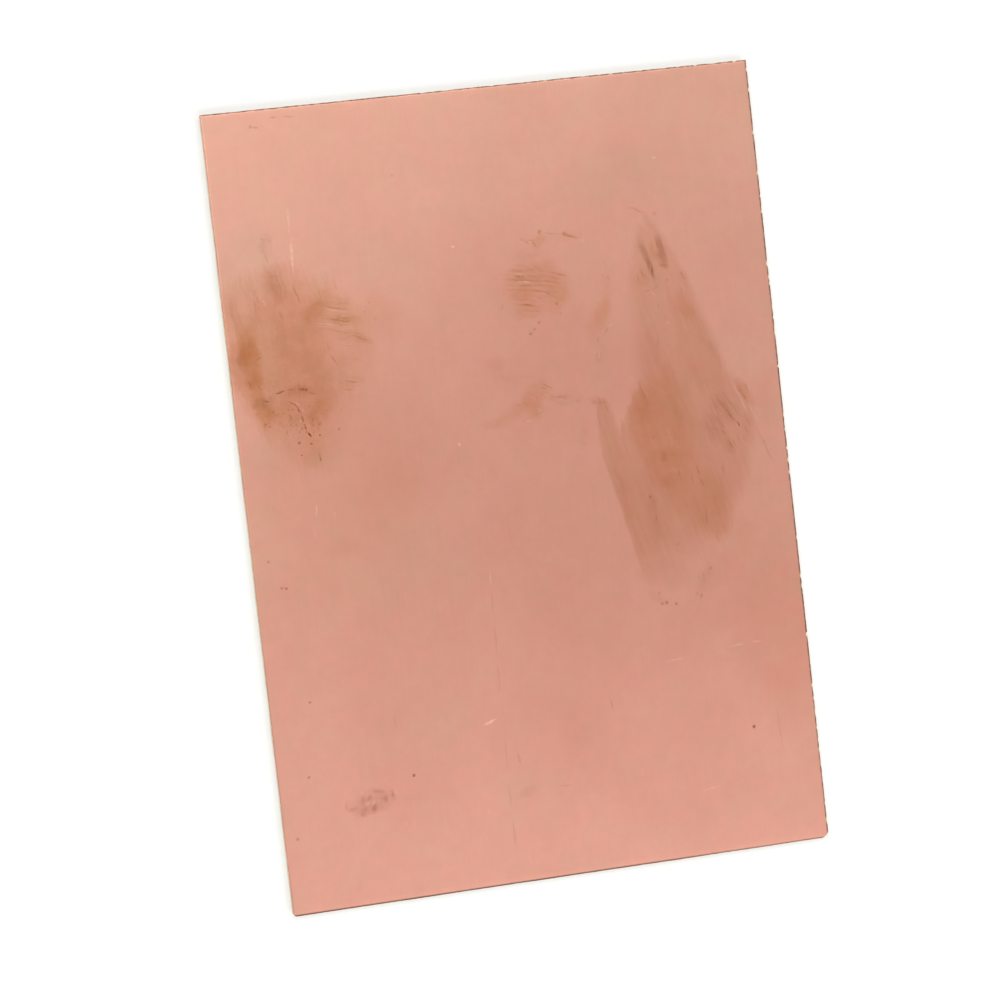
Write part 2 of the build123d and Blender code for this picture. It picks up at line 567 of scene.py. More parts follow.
middle_soil = [
    (5, 25.6, 4.4, 1.8, -8, 0.9, 0.12), (4, 28.4, 2.6, 0.9, 5, 0.9, 0.12), (12, 15.6, 2.6, 1, 80, 0.9, 0.11),
    (10.8, 9.3, 1.6, 0.9, 0, 0.9, 0.2), (6.6, 10.2, 3.4, 0.9, -10, 0.9, 0.16),
    (8.6, 5.4, 2.4, 1, 80, 0.9, 0.12),
]
middle_ridges = strokes(
    (1.4, 26.8, 3.6, 26.3, 0.34, 0.3), (3.8, 26.8, 4.8, 26.5, 0.3, 0.33), (4.8, 27, 5.7, 26.3, 0.4, 0.33),
    (2.2, 26, 3.2, 25.7, 0.42, 0.57), (3.2, 25.8, 5.6, 25.3, 0.26, 0.26), (6.4, 26.2, 8.7, 25.4, 0.24, 0.26),
    (7.7, 25.7, 8.6, 25.4, 0.3, 0.33), (2.4, 24.8, 4.4, 24.6, 0.26, 0.33), (4.3, 24.7, 5.8, 24.4, 0.38, 0.3),
    (5.2, 25.1, 7.6, 24.7, 0.24, 0.15), (0.8, 24.4, 2.2, 24.6, 0.24, 0.19),
    (4.2, 24.1, 5.6, 23.6, 0.28, 0.38), (5.5, 23.7, 6.7, 23.1, 0.28, 0.44),
    (4.4, 23.2, 5.6, 22.7, 0.24, 0.22), (1.8, 22.6, 4.5, 22.1, 0.24, 0.3), (3, 22.35, 3.9, 22.2, 0.26, 0.33),
    (1.7, 22, 2.5, 21.9, 0.22, 0.25), (1.7, 21.6, 2.4, 21.5, 0.22, 0.25), (4.1, 21.9, 4.7, 21.2, 0.22, 0.25),
    (1.8, 20.9, 4, 20.7, 0.24, 0.12), (3.4, 30.7, 3.6, 30.2, 0.26, 0.46), (3.9, 30.4, 4.2, 30, 0.3, 0.62),
    (4.3, 30.4, 4.9, 30.3, 0.24, 0.46), (4.9, 30, 5.2, 29.5, 0.3, 0.54), (6.2, 31.05, 8.6, 30.75, 0.22, 0.4),
    (8.8, 30.65, 9.6, 30.3, 0.46, 0.5), (9.5, 30.4, 10.6, 30, 0.3, 0.5), (0.3, 22.9, -0.1, 22.2, 0.26, 0.35),
    (0.6, 24.2, 0.1, 23.7, 0.2, 0.17), (13.4, 18.4, 12.7, 17.5, 0.24, 0.44),
    (12, 17.3, 11.6, 16.6, 0.24, 0.34), (11.4, 15.4, 11.7, 14.1, 0.24, 0.3), (12, 15.4, 12, 14.4, 0.18, 0.22),
    (13.3, 25, 13.6, 24.3, 0.24, 0.34), (13.9, 24.8, 14.1, 24.2, 0.22, 0.3),
    (13.7, 26.8, 13.9, 25.8, 0.22, 0.22), (4.1, 12.3, 5.4, 11.4, 0.28, 0.46),
    (4.4, 10.75, 7.4, 10.1, 0.24, 0.3), (6.1, 10.6, 7.3, 10.25, 0.26, 0.34), (0.3, 10, 1.1, 9.9, 0.26, 0.25),
    (0.2, 13.5, 3.6, 13.3, 0.3, 0.11), (2.2, 11.4, 2.8, 11, 0.2, 0.26), (3, 11, 3.4, 10.4, 0.2, 0.26),
    (3.8, 11.9, 4.6, 11.5, 0.22, 0.28), (1.4, 10.2, 2, 9.8, 0.18, 0.24), (2.4, 8.4, 3.2, 8.6, 0.2, 0.24),
    (1.2, 8, 1.8, 8.3, 0.18, 0.22), (0.2, 8.6, 0.8, 8.9, 0.18, 0.2), (4.8, 10.4, 5.4, 10.2, 0.24, 0.26),
) + dots(
    (5.9, 31.2, 0.6, 0.7), (8.95, 30.65, 0.6, 0.55), (4.45, 20, 0.55, 0.5), (3.8, 19.2, 0.4, 0.7),
    (3.25, 18.7, 0.46, 1), (6.95, 22.1, 0.44, 0.55), (7.4, 20.8, 0.5, 0.28), (8.4, 9.5, 0.7, 0.19),
    (10.4, 9.2, 0.6, 0.19),
)
middle_shine = strokes(
    (1.8, 26.35, 4, 26, 0.2, 0.12), (2.2, 25.35, 4.6, 25.05, 0.22, 0.2), (2.4, 22.9, 4, 22.7, 0.2, 0.1),
    (5.4, 24.85, 8, 24.3, 0.14, 0.08), (13.9, 18.8, 13.5, 18.4, 0.24, 0.12),
    (11.9, 15.5, 11.6, 14.6, 0.24, 0.16), (2.3, 11.2, 2.7, 10.8, 0.18, 0.12), (3.1, 9.3, 3.6, 9, 0.2, 0.14),
    (3.4, 8.3, 4, 8.6, 0.18, 0.12), (1.5, 7.8, 2.2, 8, 0.18, 0.12), (4.3, 10.9, 4.7, 10.6, 0.16, 0.1),
) + dots(
    (3.5, 30.2, 0.4, 0.14), (11.2, 29.6, 0.6, 0.16), (-5.4, 30.6, 0.46, 0.3), (-7.4, 6, 0.4, 0.45),
)

# Right smear and its legs
right_outer = [
    (0.28, (16.5, 9, 1.5), (28.6, 9, 1.5), (27.9, 12.6, 0.7), (26.4, 17.6, 1), (24.4, 22.6, 1.4),
     (22.4, 28.2, 1.6), (20.6, 30.4, 1.6), (18.2, 30.2, 1.2), (17, 25, 3)),
    (0.34, (14.35, -13, 6.5), (19, -11.4, 5.5), (25.4, -9.6, 2.6), (29.4, -2, 1.8), (31, 4, 1.4),
     (30.2, 8.6, 1.2), (28.6, 11, 1.5), (16.4, 11, 0.8), (14.3, 7, 0.7), (11.1, 1.2, 0.4)),
    (0.4, (10.5, 6.5, 0.5), (10.85, 2, 0.4), (11.6, -1, 1.2), (14, 1.6, 0.9), (12.2, 9.2, 0.7),
     (11, 9.6, 0.6)),
]
right_inner = [
    (0.34, (14.6, 5, 1.2), (16.4, -0.6, 2.6), (19, -4.2, 2.8), (22, -4, 2.6), (22.8, 0, 2.6),
     (22.9, 5, 2.6), (22.4, 9.4, 2.6), (20.6, 12.6, 3.2), (17.8, 11.2, 2.6), (15.2, 9, 0.8)),
    (0.27, (18.6, -3.4, 3), (21, -7.6, 2.6), (23.4, -9.2, 2.2), (25.8, -9.2, 2.2), (26.6, -5, 2.4),
     (26, -2.4, 2.4), (23, -0.6, 3)),
]
right_bands = [
    (0.16, (22, 13, 1.8), (24, 9.4, 1.8), (27.7, 9, 0.6), (27.4, 12.8, 0.7), (25.6, 17.6, 1),
     (23.2, 22.2, 1.4), (21.8, 21, 1.4)),
    (0.14, (12.2, -2.6, 0.5), (14.3, -10.6, 3), (18.2, -9.2, 2.6), (19.2, -5, 2.4), (17, -1.4, 2.4),
     (13.6, 0.4, 1.6)),
    (0.04, (16.9, 12, 1.6), (20, 12.4, 1.6), (19.5, 18, 1.4), (18.9, 24.4, 1.4), (17.4, 24, 2.4)),
]
right_dashes = strokes(
    (18.5, 29.4, 19.1, 27.2, 1, 0.14), (18.7, 28.2, 19.6, 25.4, 1.1, 0.4),
    (19.3, 26.4, 19.9, 24.1, 0.8, 0.34), (20.9, 29.2, 21.5, 25.6, 1.1, 0.32),
    (21.2, 28.8, 21.7, 24.8, 0.9, 0.42), (20.8, 26.8, 21.2, 25.4, 0.9, 0.34),
)
right_dabs = [
    (19.6, 0.9, 2.8, 1.6, -15, 0.8, 0.26), (17.6, 1.2, 2.2, 1.4, 20, 0.9, 0.14),
    (16.6, 8, 3.2, 1, 100, 0.7, 0.18), (21, 5.4, 3, 1.2, 85, 0.9, 0.16),
    (23.4, 11.6, 2.4, 1.6, 80, 0.9, 0.12), (20.2, 27.2, 1.8, 0.7, 95, 0.8, 0.26),
    (18.3, 23.8, 2.2, 1.2, 75, 0.8, 0.16), (23.8, 19.6, 2.8, 1.3, -62, 0.8, 0.28),
    (30.2, 8.3, 2.4, 0.9, -60, 0.7, 0.26), (13.3, -5.2, 2, 0.9, -78, 0.9, 0.14),
    (25.2, -5.6, 2.4, 1.1, 95, 0.9, 0.08),
]
right_soil = [
    (18.6, 14.8, 4.4, 1.2, 85, 0.9, 0.07), (26, 14.6, 2.4, 0.9, -60, 0.8, 0.12),
    (27.2, 6.6, 3.2, 1.8, -62, 0.8, 0.3), (25.6, 4.2, 3, 2, -50, 0.9, 0.26),
    (12.4, -1.6, 3.4, 1.1, -76, 0.9, 0.16), (27.4, 1.4, 2, 1, -62, 0.9, 0.22),
    (22.2, -14.6, 3.2, 1.4, 70, 0.9, 0.2), (15.8, -16.2, 2.2, 0.9, -40, 0.9, 0.16),
    (17.4, -13.4, 5, 2.6, -10, 0.8, 0.16), (16.8, -7.4, 2.6, 0.8, 95, 0.8, 0.16),
    (16.6, -4.6, 1.8, 1, 95, 0.9, 0.2), (20.2, 31, 2.2, 0.6, 118, 0.9, 0.22),
    (23.8, 23.4, 2.4, 0.9, 105, 0.9, 0.12), (19.2, -1.8, 2.4, 1.6, 0, 0.9, 0.14),
    (19.6, 24.2, 2.4, 1.5, 85, 0.9, 0.14),
]
right_lines = strokes(
    (19.8, 25.4, 19.85, 24, 0.3, 1.1), (20.7, 29, 20.9, 27.6, 0.4, 0.34), (20.9, 25.4, 22, 25.1, 0.5, 0.38),
    (18.1, 25.5, 18.8, 24.1, 0.3, 0.42), (17.8, 24.6, 18, 23.6, 0.2, 0.38),
    (17.6, 33, 18.4, 32.9, 0.24, 0.38), (18.3, 32.9, 19.2, 32.2, 0.3, 0.51),
    (18.3, 22.3, 19.8, 22.5, 0.18, 0.34), (19.6, 22.5, 20.4, 22.9, 0.18, 0.34),
    (23.5, 24.3, 23.9, 23.2, 0.3, 0.38), (23.3, 22.4, 23.4, 21.5, 0.2, 0.3),
    (20.2, 20.7, 20.1, 20, 0.18, 0.26), (20.9, 19, 20.8, 18.3, 0.18, 0.3),
    (19.6, 16.2, 19.4, 15.2, 0.3, 0.26), (16.4, 11.4, 17.2, 8.4, 0.4, 0.16),
    (11.6, 9.6, 12.2, 7.4, 0.22, 0.38), (10.8, 8.6, 10.7, 6.6, 0.22, 0.3), (25.6, 8.2, 26.5, 6.2, 0.2, 0.38),
    (26.2, 8.3, 27.6, 5.8, 0.34, 0.34), (26.9, 7.6, 28.4, 4.8, 0.28, 0.38), (27.6, 6, 28.9, 4, 0.34, 0.42),
    (28.8, 4.5, 29, 4, 0.24, 1.02), (26.2, 5.6, 27, 3.8, 0.22, 0.34), (25.4, 4.2, 26.1, 3.8, 0.24, 0.38),
    (26.5, 4, 27.3, 2.8, 0.26, 0.38), (27.2, 2.5, 28, 1, 0.34, 0.51), (27.9, 2.4, 28.3, 1.2, 0.2, 0.42),
    (28.8, 3.2, 29.9, 1.4, 0.2, 0.36), (29.2, 9.4, 30.6, 6.4, 0.26, 0.47), (29.9, 9.9, 31.2, 7.2, 0.32, 0.3),
    (29.6, 5.6, 30.6, 3.6, 0.22, 0.3), (25.2, 7.4, 26, 5.8, 0.18, 0.32), (25.8, 6, 26.4, 4.6, 0.16, 0.3),
    (27.2, 8.6, 28.2, 6.8, 0.22, 0.3), (28, 7.4, 29.2, 5, 0.18, 0.34), (28.4, 3, 29, 1.8, 0.2, 0.3),
    (29.4, 4.4, 30.2, 2.6, 0.18, 0.28), (24.6, 5, 25.2, 3.6, 0.18, 0.26), (30.6, 6.4, 31.2, 4.6, 0.18, 0.3),
    (31, 4.2, 33.2, -1.8, 0.34, 0.28), (22.9, -0.4, 23, -1.5, 0.4, 0.38), (21.9, -1.4, 22.2, -2.6, 0.22, 0.3),
    (23, -1.9, 23.6, -3.2, 0.26, 0.36), (23.5, -5.6, 23.4, -8.2, 0.26, 0.38),
    (20.4, -0.6, 20.6, -1.8, 0.3, 0.3), (26.2, -0.8, 26.2, -1.9, 0.5, 0.26),
    (24.4, -9, 24.7, -10.4, 0.4, 0.24), (16.9, -5.8, 16.8, -6.8, 0.24, 0.42),
    (22.1, -14, 22.2, -15.2, 0.26, 0.38),
) + dots(
    (20.9, 31.9, 0.55, 0.38), (21.6, 23.4, 0.5, 0.24), (16.35, -3.65, 0.38, 0.85), (18.75, 1.15, 1.3, 0.26),
    (17.6, 3.8, 0.5, 0.3), (19.3, -9.9, 0.5, 0.24), (16.2, -15.8, 0.5, 0.34), (16.4, -17.2, 0.55, 0.51),
    (17.05, -17.2, 0.55, 0.81), (18.25, -17.45, 0.48, 0.77), (21.65, -16.9, 0.5, 0.81), (21, -16.5, 0.5, 0.3),
    (23.1, -13.5, 0.6, 0.36), (21.4, -14.5, 0.4, 0.24),
)
right_shine = strokes(
    (30.1, 7.3, 31.6, 4, 0.16, 0.18), (29.5, 7.2, 30.3, 5.4, 0.16, 0.16), (28.4, 10.3, 29.8, 6.8, 0.14, 0.14),
    (28.7, 3.7, 29.6, 1.3, 0.14, 0.12), (26.2, 6.9, 26.9, 5.4, 0.14, 0.11), (27.4, 7.8, 28.8, 5, 0.12, 0.09),
    (25.9, 4.9, 26.7, 3.6, 0.14, 0.1), (25.6, 7, 26.2, 5.6, 0.12, 0.12), (26.8, 5, 27.6, 3.4, 0.12, 0.14),
    (28.2, 5.2, 29.2, 3.2, 0.12, 0.14), (29, 8.6, 30.2, 6, 0.12, 0.14), (29.8, 3.2, 30.4, 2, 0.12, 0.12),
    (24.9, 5.4, 25.4, 4.2, 0.12, 0.12), (19.2, 22.5, 20, 21.4, 0.18, 0.12),
    (16.6, 11.2, 17.6, 8.6, 0.22, 0.06), (19.6, 5, 19.9, 2.4, 0.5, 0.05),
) + dots(
    (21, 18.1, 0.4, 0.11),
)

# Scattered marks
low_smudge = [
    (-24.6, -36.8, 0.9, 0.5, 80, 0.8, 0.33), (-26, -37.7, 1.1, 0.4, 10, 0.8, 0.28),
    (-24.7, -38.2, 0.9, 0.6, 70, 0.8, 0.38), (-23.3, -37.9, 0.8, 0.5, 70, 0.8, 0.5),
    (-23.8, -36.5, 0.6, 0.4, 60, 0.8, 0.33), (-22.6, -35.9, 1.2, 0.4, -12, 0.8, 0.33),
    (-22.2, -36.8, 0.6, 0.4, 0, 0.8, 0.22), (-21.7, -36.9, 0.7, 0.4, 80, 0.8, 0.38),
    (-20.8, -36.6, 1.1, 0.4, 96, 0.8, 0.43), (-26.8, -37.2, 0.8, 0.3, 80, 0.8, 0.22),
]
low_haze = [
    (-23.6, -37.1, 4, 1.9, 4, 0.9, 0.33), (-24.2, -38, 2.4, 0.9, 4, 0.9, 0.18),
]
scattered_soil = strokes(
    (-28.7, 47.9, -28.1, 47.8, 0.24, 0.6), (-26.3, 48.8, -25.7, 48.8, 0.22, 0.55),
    (-24.9, 48.8, -23.4, 48.6, 0.2, 0.4), (8.3, -28.2, 8.5, -29.9, 0.22, 0.45),
    (-4.4, -33.6, -4.2, -35, 0.34, 0.32), (0.4, -38.5, 2.2, -38.6, 0.18, 0.28),
    (-19.6, -26.6, -19.4, -28.4, 0.24, 0.22), (-5.4, -12.6, -5.5, -16, 0.24, 0.2),
    (-5.5, -16.6, -5.7, -21, 0.24, 0.23), (-5.7, -21.6, -5.8, -26.2, 0.24, 0.22),
    (-5.8, -31, -5.9, -36, 0.22, 0.2), (-5.9, -37, -6, -40.6, 0.22, 0.22),
    (-5.9, -41.6, -6, -45.6, 0.26, 0.28), (30, -32, 30.1, -38.6, 0.24, 0.18),
) + dots(
    (-17.9, -34.5, 0.46, 1.7), (26.6, -34.4, 0.46, 1.9), (-31.7, -9, 0.4, 0.8), (-31.2, -9.1, 0.4, 1.2),
    (-29.9, -23.6, 0.34, 1.1), (-31.1, -32.9, 0.4, 0.9), (-33.4, -40.4, 0.4, 0.9), (-32.9, -5.6, 0.44, 0.7),
    (-12, 40.2, 0.44, 0.35), (-29, 48, 0.46, 0.5),
)
scattered_soil += [(-3.6, -38.6, 2.6, 1, 20, 0.9, 0.16)]
scattered_shine = strokes(
    (-8.3, -29.4, -6.7, -28.9, 0.34, 0.48), (21.4, 38.9, 21.8, 38.95, 0.24, 0.22),
    (15.9, -24.7, 18.6, -24.4, 0.26, 0.11), (24.3, -23.8, 26.5, -23.7, 0.28, 0.14),
    (27.4, -23.55, 28.8, -23.65, 0.26, 0.14), (19, -41.7, 21.6, -41.4, 0.24, 0.14),
    (-26.2, 0.7, -26.4, -0.9, 0.26, 0.18), (-26.6, -1.4, -26.8, -3.6, 0.2, 0.12),
    (-24, -0.4, -24, -1.4, 0.24, 0.14), (-5.3, -10.2, -5.4, -12.2, 0.26, 0.13),
    (-23.4, -37.3, -23.2, -37, 0.4, 0.14), (-24.3, -37.2, -23.9, -37.1, 0.36, 0.1),
    (-24.7, -36, -24.6, -35.7, 0.36, 0.07), (-20.8, -37, -20.7, -36.8, 0.28, 0.1),
    (-22.8, -37.2, -22.6, -37, 0.3, 0.08),
) + dots(
    (-19.6, -40.4, 0.5, 0.12), (-8.8, -40.4, 0.44, 0.12), (-20.4, -36.3, 0.44, 0.1),
)

# Places whose faces have a material of their own with the marks near them: x and y from, x and y to
zones = {
    "copper_left": (-36, 3, -13, 40),
    "copper_middle": (-9, 3, 10, 34),
    "copper_right": (10, -20, 36, 36),
}

# How near a mark's box comes to such a place, or to a face elsewhere, to count there
zone_margin = 1.5
spot_margin = 1.0

# The settings below have these orders. Noise: scale, detail and roughness.
# Streaks: turn in degrees, length, width and detail. Steps: two values, and the two that they become.

# Outlines of the marks: the noise and the reach of their wander, and the streaks that draw some of them out
noise_middle = 0.5
outline_noise = (0.4, 4.0, 0.6)
wanders = {"soft": 2.2, "firm": 0.5}
pulls = {
    "pulled down": ("firm", 2.4, (-76, 16.0, 0.6, 3.0)),
    "pulled up": ("soft", 4.0, (97, 8.0, 0.4, 3.0)),
}

# Textures of the marks: noise, or streaks in an outline, and steps to a share of a mark's depth
noise_textures = {
    "cloud": ((0.35, 5.0, 0.7), (0.3, 0.7, 0.72, 1.26)),
    "broken": ((1.8, 2.0), (0.35, 0.6, 0.45, 1.2)),
    "crumbled": ((4.5, 2.0), (0.4, 0.62, 0.35, 1.6)),
    "specks": ((1.9, 3.0, 0.7), (0.56, 0.7, 0, 1.5)),
}
streak_textures = {
    "upright": ("soft", (96, 9.0, 0.4, 3.0), (0.3, 0.7, 0.45, 1.4)),
    "slanted": ("soft", (-13, 6.0, 0.32, 3.0), (0.35, 0.65, 0.3, 1.5)),
    "fan": ("firm", (-76, 14.0, 0.7, 4.0), (0.3, 0.7, 0.84, 1.14)),
}

# Ridges of the skin in a finger print
ridge_pitch = 0.62
ridge_turn = -9
ridge_steps = (-0.7, 0.9, 0, 1.5)

# How deep a unit of each kind of stain goes: the share of red, green and blue that it lets back
rust_tint = (0.80, 0.665, 0.46)
soil_tint = (0.70, 0.61, 0.53)
# The last tint also darkens the rolled edge along the cut as painted shade, with some tarnish.
shade_and_tarnish_tint = (0.60, 0.59, 0.57)

# Kinds of mark as shares of rust, soil and shine. Grey takes a little rust back.
rust = (1, 0, 0)
brown = (0.6, 0.4, 0)
mauve = (0.4, 0.55, 0)
grey = (-0.2, 1.2, 0)
soil = (0, 1, 0)
shine = (0, 0, 1)

# Kind, outline, texture and marks of each group
stains = [
    (brown, "pulled up", "cloud", left_outer),
    (brown, "pulled up", "cloud", left_body),
    (rust, "soft", "cloud", left_core),
    (rust, "soft", "cloud", left_dabs),
    (soil, "soft", "upright", left_soil),
    (brown, "soft", "slanted", left_wing),
    (brown, "firm", "broken", left_lines),
    (soil, "firm", "crumbled", left_cracks),
    (soil, "firm", "specks", left_specks),
    (shine, "firm", "broken", left_shine),
    (rust, "soft", "cloud", middle_dabs),
    (brown, "firm", "ridged", middle_lines),
    (soil, "soft", "slanted", middle_soil),
    (mauve, "firm", "broken", middle_ridges),
    (shine, "firm", "broken", middle_shine),
    (mauve, "pulled down", "fan", right_outer),
    (rust, "pulled down", "cloud", right_inner),
    (brown, "pulled down", "fan", right_bands),
    (rust, "soft", "cloud", right_dabs),
    (soil, "soft", "fan", right_soil),
    (soil, "firm", "cloud", right_dashes),
    (mauve, "firm", "broken", right_lines),
    (shine, "firm", "broken", right_shine),
]
spots = [
    (grey, "firm", "broken", low_smudge),
    (grey, "soft", "cloud", low_haze),
    (soil, "firm", "even", scattered_soil),
    (shine, "firm", "broken", scattered_shine),
]


def reach(mark):
    """Box round a dab or patch: x and y from, x and y to."""
    if isinstance(mark[1], tuple):
        softest = max(corner[2] for corner in mark[1:])
        xs = [corner[0] for corner in mark[1:]]
        ys = [corner[1] for corner in mark[1:]]
        return min(xs) - softest, min(ys) - softest, max(xs) + softest, max(ys) + softest
    x, y, long_half, short_half = mark[:4]
    far = max(long_half, short_half)
    return x - far, y - far, x + far, y + far


def near(box, other, margin):
    """True if two boxes come within a margin of each other."""
    x0, y0, x1, y1 = box
    across = x0 < other[2] + margin and x1 > other[0] - margin
    return across and y0 < other[3] + margin and y1 > other[1] - margin


def board_place(graph):
    """Plan position on the board in millimetres, with 1 as its third coordinate."""
    here = graph.add("TexCoord", {}).outputs["Object"]
    return graph.vector("MULTIPLY_ADD", here, (1 / mm, 1 / mm, 0), (0, 0, 1))


def combed(graph, where, far, streaks):
    """Position moved to and fro along a direction, by streaks that run that way."""
    comb = graph.math("SUBTRACT", graph.streaks(where, *streaks), noise_middle)
    turn = radians(streaks[0])
    return graph.vector("MULTIPLY_ADD", comb, (cos(turn) * far, sin(turn) * far, 0), where)


def ridges(graph, where):
    """Waves in the pitch of a finger's skin."""
    across = graph.split(graph.turned(where, (0, 0), ridge_turn, (1, ridge_pitch / (2 * pi))))[1]
    return graph.ease(graph.math("SINE", across), *ridge_steps)


def marks_in(graph, where, marks):
    """Rust, soil and shine on the copper as a vector, from the given groups of marks."""
    push = graph.noise(where, *outline_noise, output="Color")
    push = graph.vector("SUBTRACT", push, (noise_middle, noise_middle, noise_middle))
    made = {"even": 1.0}
    for name, far in wanders.items():
        made[name] = graph.vector("MULTIPLY_ADD", push, (far, far, 0), where)

    def make(name):
        if name in pulls:
            outline, far, streaks = pulls[name]
            return combed(graph, made[outline], far, streaks)
        if name in noise_textures:
            settings, steps = noise_textures[name]
            return graph.ease(graph.noise(where, *settings), *steps)
        if name in streak_textures:
            outline, streaks, steps = streak_textures[name]
            return graph.ease(graph.streaks(made[outline], *streaks), *steps)
        return graph.math("MULTIPLY", ridges(graph, made["firm"]), part("slanted"))

    def part(name):
        if name not in made:
            made[name] = make(name)
        return made[name]

    total = (0, 0, 0)
    for kind, outline, texture, group in marks:
        depth = 0.0
        for mark in group:
            step = graph.patch if isinstance(mark[1], tuple) else graph.dab
            depth = step(part(outline), mark, depth)
        total = graph.vector("MULTIPLY_ADD", graph.math("MULTIPLY", depth, part(texture)), kind, total)
    return total


# Clean copper: colours at the ends and in the middle of the board, in pinker and in browner blotches. The
# darker middle is painted shade with some tarnish.
pink_ends = (0.645, 0.323, 0.247, 1)
pink_middle = (0.573, 0.26, 0.195, 1)
tan_ends = (0.624, 0.332, 0.245, 1)
tan_middle = (0.554, 0.268, 0.193, 1)
middle_dab = (8.0, 2.0, 62.0, 48.0, 82, 0.9, 1.0)
middle_noise = (0.06, 3.0)
middle_change = 1.2
blotch_noise = (0.28, 4.0, 0.6)
blotch_steps = (0.3, 0.7, 0, 1)

# Large faint blotches in the clean copper, as dabs: greyer ones and warmer ones
haze_dabs = [
    (-16, -9, 13, 7, 8, 0.7, 1), (17, 38, 9, 5.5, 0, 0.7, 0.9),
    (-14, 30, 9, 6, 0, 0.9, 0.8), (-5, -39, 4.5, 3.5, 80, 0.9, 1),
    (-16, -28, 9, 7, 10, 0.9, 1.2), (11, 13, 6, 2.6, 75, 0.9, 0.8),
    (-31.5, 32, 5.5, 4, 0, 0.9, 1.8), (-32, 6.6, 4.5, 3.4, 70, 0.9, 1.8),
    (-24.5, 5.5, 4, 3, 0, 0.9, 1),
]
warm_dabs = [
    (-15, 2, 8, 5.5, 70, 0.8, 1), (-18, -36, 15, 8, 10, 0.9, 0.7),
    (-23, -5, 4, 2.4, 20, 0.9, 0.9), (32.5, -20, 24, 9, 90, 0.9, 2.4),
    (-25, 2, 42, 19, 92, 0.9, 2.1), (-15.6, 23.2, 5, 5, 0, 0.9, 1.8),
    (32.2, 6.6, 6, 3.2, 90, 0.9, 1.7), (26.6, -11, 5, 3.6, 80, 0.9, 1.6),
    (26.4, -19.4, 4.6, 4, 0, 0.9, 1.2),
]
haze_tint = (0.968, 1.004, 0.992)
warm_tint = (0.975, 0.95, 0.935)
haze_noise = (0.12, 3.0)
haze_wander = 9.0

# Rosier front and paler rear of the board, by steps along Y
rosy_tint = (1.0, 0.94, 0.955)
front_rosy = (-30, -8, 0.8, 0)
rear_rosy = (15, 48, 0, -0.3)

# Dark line along the cut, painted shade of the rolled edge with some tarnish: steps by the distance from each
# side, and along the front
right_line = (0.03, 0.28, 1.6, 0)
rear_line = (0.03, 0.26, 1.6, 0)
front_line = (0.05, 0.32, 1, 0)
front_depth = (0, 26, 2.8, 1.5)
line_noise = (1.1, 4.0)
line_steps = (0.36, 0.62, 0.2, 1.3)

# Grain and finish of the copper, with the height of its grain in metres
grain_streaks = (90, 9.0, 0.12, 3.0)
grain_tone = 0.07
mottle_noise = (0.6, 4.0, 0.65)
mottle_tone = 0.11
base_tone = 0.91
satin = 0.37
grain_satin = 0.06
grain_strength = 0.2
grain_height = 0.00002
bright_copper = (0.95, 0.6, 0.5, 1)


def clean_copper(graph, where):
    """Colour of the copper under the stains: darker in the middle than at the ends, as painted shade with
    some tarnish, and faintly mottled.
    """
    # Darker middle of the board: painted shade with some tarnish
    broad = graph.sum(graph.noise(where, *middle_noise), middle_change, -middle_change / 2)
    blotch = graph.ease(graph.noise(where, *blotch_noise), *blotch_steps)
    middle_shade_and_tarnish = graph.add("Clamp", {0: graph.dab(where, middle_dab, broad)}).outputs[0]
    pink = graph.mix(middle_shade_and_tarnish, pink_ends, pink_middle)
    tan = graph.mix(middle_shade_and_tarnish, tan_ends, tan_middle)
    clean = graph.mix(blotch, pink, tan)
    swing = (haze_wander, haze_wander, 0)
    wide = graph.vector("MULTIPLY_ADD", graph.noise(where, *haze_noise), swing, where)
    wide = graph.vector("SUBTRACT", wide, (haze_wander / 2, haze_wander / 2, 0))
    clean = graph.under(clean, haze_tint, graph.dabs(wide, haze_dabs))
    clean = graph.under(clean, warm_tint, graph.dabs(wide, warm_dabs))
    along = graph.split(where)[1]
    rosy = graph.math("ADD", graph.ease(along, *front_rosy), graph.ease(along, *rear_rosy))
    return graph.under(clean, rosy_tint, rosy)


def edge_shade_and_tarnish(graph, where):
    """Depth of the dark line along the cut, painted shade of the rolled edge with some tarnish: broken at +X
    and +Y, deepest at -Y and none at -X.
    """
    x, y, _ = graph.split(where)
    right = graph.ease(graph.math("SUBTRACT", half_width, x), *right_line)
    rear = graph.ease(graph.math("SUBTRACT", half_length, y), *rear_line)
    broken = graph.ease(graph.noise(where, *line_noise), *line_steps)
    line = graph.math("MULTIPLY", graph.math("MAXIMUM", right, rear), broken)
    front = graph.ease(graph.math("ADD", y, half_length), *front_line)
    return graph.math("MAXIMUM", line, graph.math("MULTIPLY", front, graph.ease(x, *front_depth)))


def copper_material(name, marks):
    """Satin copper with fine grain along the board, and the given marks on it."""
    graph = Graph(name)
    where = board_place(graph)
    grain = graph.streaks(where, *grain_streaks)
    mottle = graph.noise(where, *mottle_noise)
    tone = graph.sum(mottle, mottle_tone, graph.sum(grain, grain_tone, base_tone))
    colour = graph.vector("MULTIPLY", clean_copper(graph, where), tone)
    if marks:
        rust_depth, soil_depth, shine_depth = graph.split(marks_in(graph, where, marks))
        colour = graph.under(colour, rust_tint, rust_depth)
        colour = graph.under(colour, soil_tint, soil_depth)
        colour = graph.mix(graph.math("MINIMUM", shine_depth, 1.0), colour, bright_copper)
    # Dark line along the cut: painted shade of the rolled edge, with some tarnish
    colour = graph.under(colour, shade_and_tarnish_tint, edge_shade_and_tarnish(graph, where))
    relief = {"Strength": grain_strength, "Distance": grain_height, "Height": grain}
    feeds = {
        "Base Color": colour,
        "Metallic": 1.0,
        "Roughness": graph.sum(grain, grain_satin, satin),
        "Normal": graph.add("Bump", relief).outputs[0],
    }
    return graph.finish("BsdfPrincipled", feeds)


